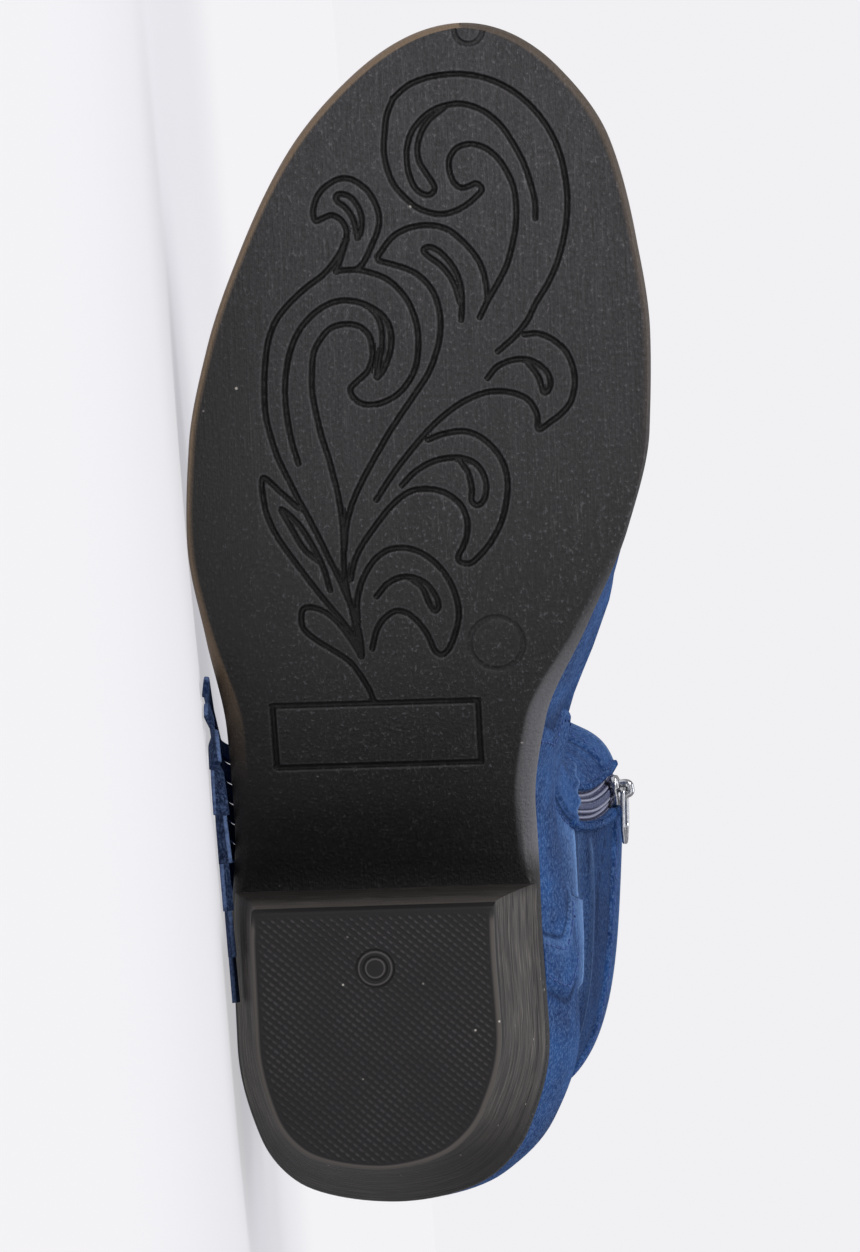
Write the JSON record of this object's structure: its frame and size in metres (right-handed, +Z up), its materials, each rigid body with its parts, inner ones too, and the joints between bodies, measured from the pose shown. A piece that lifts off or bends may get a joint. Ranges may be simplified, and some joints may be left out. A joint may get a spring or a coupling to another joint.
{
  "type": "western fringe ankle boot",
  "caption": "Blue suede western ankle boot for the right foot, lying on its outer side, with a low block heel, a side zip and a fringe round the outer ankle.",
  "frame": {"origin": "middle of the bounding box in plan, on the floor that the boot lies on", "axes": "the boot lies on its outer side: -X along the sole towards the toe, -Y the way the tread faces, +Y up the shaft to the collar, +Z up from the floor towards the zip side"},
  "size_m": [0.2592, 0.1902, 0.1017],
  "materials": {
    "sole_rubber": "matt, streaked along the foot",
    "heel_stack": "matt, stacked layers",
    "lift_rubber": "matt, knurled",
    "insole_board": "smooth matt",
    "blue_suede": "suede nap",
    "zip_fabric": "ribbed tape",
    "slider_metal": "polished nickel",
    "pull_metal": "polished nickel",
    "fringe_suede": "suede nap"
  },
  "bodies": {
    "boot": {"outsole": "sole_rubber", "heel_block": "heel_stack", "top_lift": "lift_rubber", "insole": "insole_board", "upper": "blue_suede", "zip_tape": "zip_fabric", "zip_slider": "slider_metal", "fringe": "fringe_suede"},
    "pull": {"zip_pull": "pull_metal"}
  },
  "joints": [
    {"name": "pull_hinge", "type": "hinge", "parent": "boot", "child": "pull", "pos_m": [0.05053, 0.07049, 0.09483], "axis": [-0.0296, -0.9871, -0.1575], "range_deg": [0, 150]}
  ]
}
